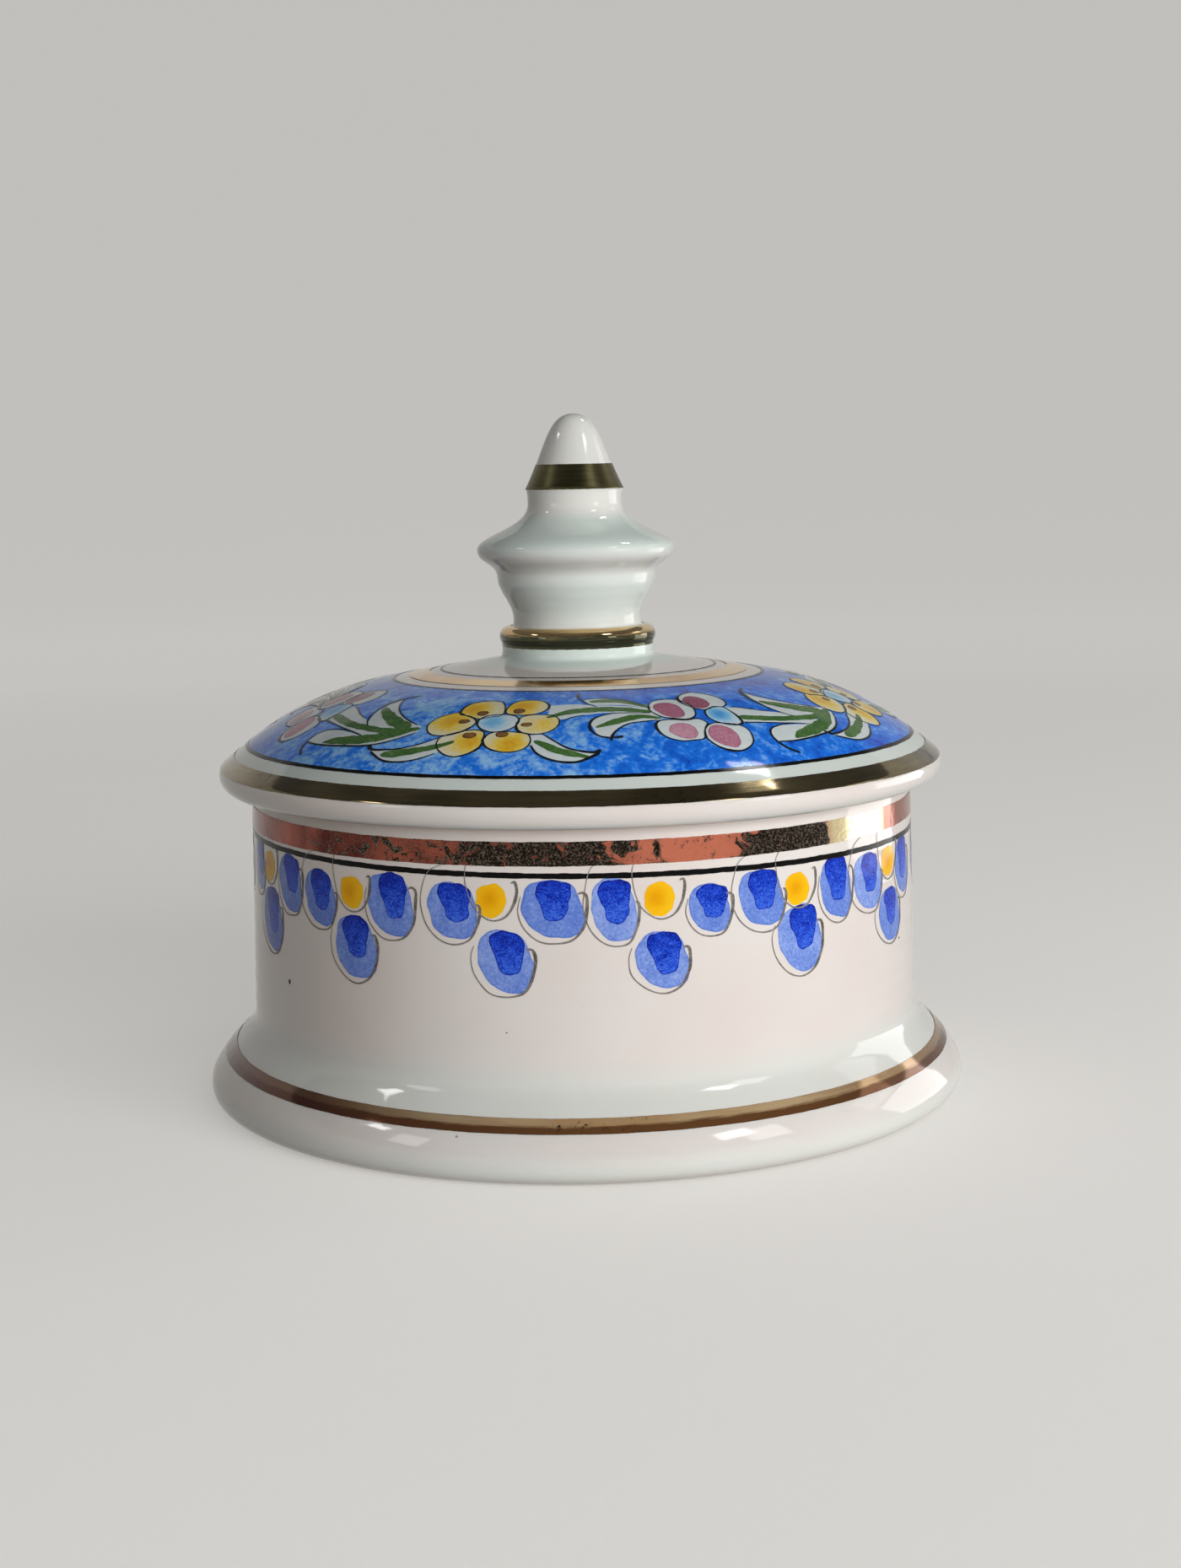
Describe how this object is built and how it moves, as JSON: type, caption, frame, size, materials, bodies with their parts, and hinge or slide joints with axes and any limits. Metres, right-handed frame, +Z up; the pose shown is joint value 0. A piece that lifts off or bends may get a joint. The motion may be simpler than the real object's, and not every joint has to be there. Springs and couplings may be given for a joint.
{
  "type": "lidded ceramic jar",
  "caption": "Round footed ceramic jar with a straight wall and a domed lid that lifts off its rim by a turned finial knob.",
  "frame": {"origin": "centre of the foot ring's ground face", "axes": "+Z up along the jar's axis; the side that the picture shows faces -Y"},
  "size_m": [0.1204, 0.1204, 0.1061],
  "materials": {
    "jar_glaze": "glossy white glaze with painted frieze and gilded bands",
    "lid_glaze": "glossy white glaze with a cobalt band, painted flowers and gilded rings",
    "knob_glaze": "glossy white glaze with gilded bead and finial band"
  },
  "bodies": {
    "jar": {"jar_body": "jar_glaze"},
    "lid": {"lid": "lid_glaze", "lid_knob": "knob_glaze"}
  },
  "joints": [
    {"name": "lid_lift", "type": "slide", "parent": "jar", "child": "lid", "axis": [0, 0, 1], "range_m": [0, 0.08]}
  ]
}
